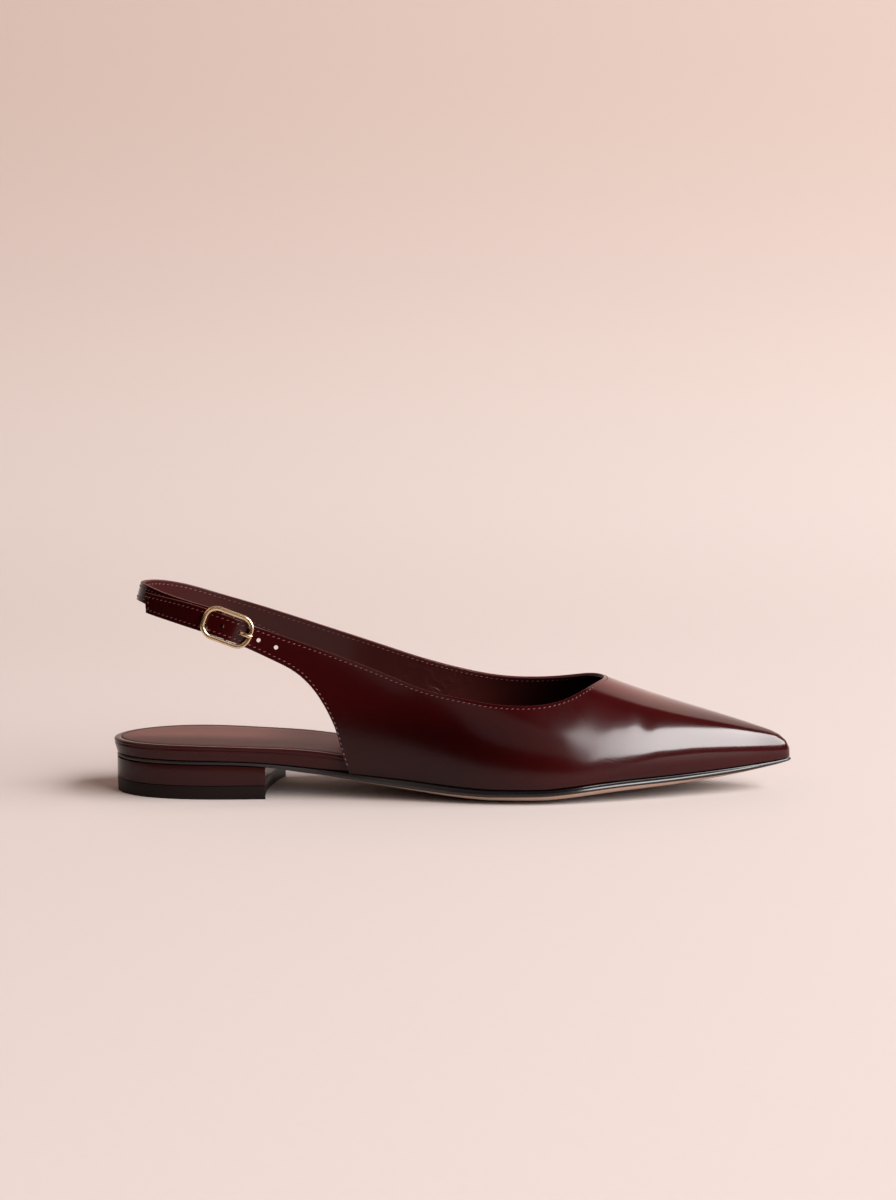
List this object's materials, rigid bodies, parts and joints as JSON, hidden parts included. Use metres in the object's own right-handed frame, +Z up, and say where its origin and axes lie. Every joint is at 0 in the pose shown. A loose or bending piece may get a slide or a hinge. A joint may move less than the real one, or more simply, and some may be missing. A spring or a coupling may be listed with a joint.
{
  "type": "sling back flat shoe",
  "caption": "Pointed sling back flat: hollow one-piece upper with a punched strap buckled to the heel sling, covered insole with sock, leather outsole and a low stacked heel.",
  "frame": {"origin": "On the floor under the middle of the shoe's length and width.", "axes": "+X points to the toe, -Y to the outer (buckle) side of this right shoe, +Z up."},
  "size_m": [0.268, 0.0749, 0.0823],
  "materials": {
    "upper_leather": "polished",
    "gold_metal": "polished",
    "sock_leather": "satin",
    "sole_leather": "matt",
    "heel_finish": "polished",
    "black_rubber": "matt"
  },
  "bodies": {
    "root": {"upper": "upper_leather", "buckle_chape": "upper_leather", "buckle_frame": "gold_metal", "buckle_prong": "gold_metal", "insole_sock": "sock_leather", "covered_insole": "upper_leather", "outsole": "sole_leather", "heel_block": "heel_finish", "top_lift": "black_rubber"}
  },
  "joints": []
}
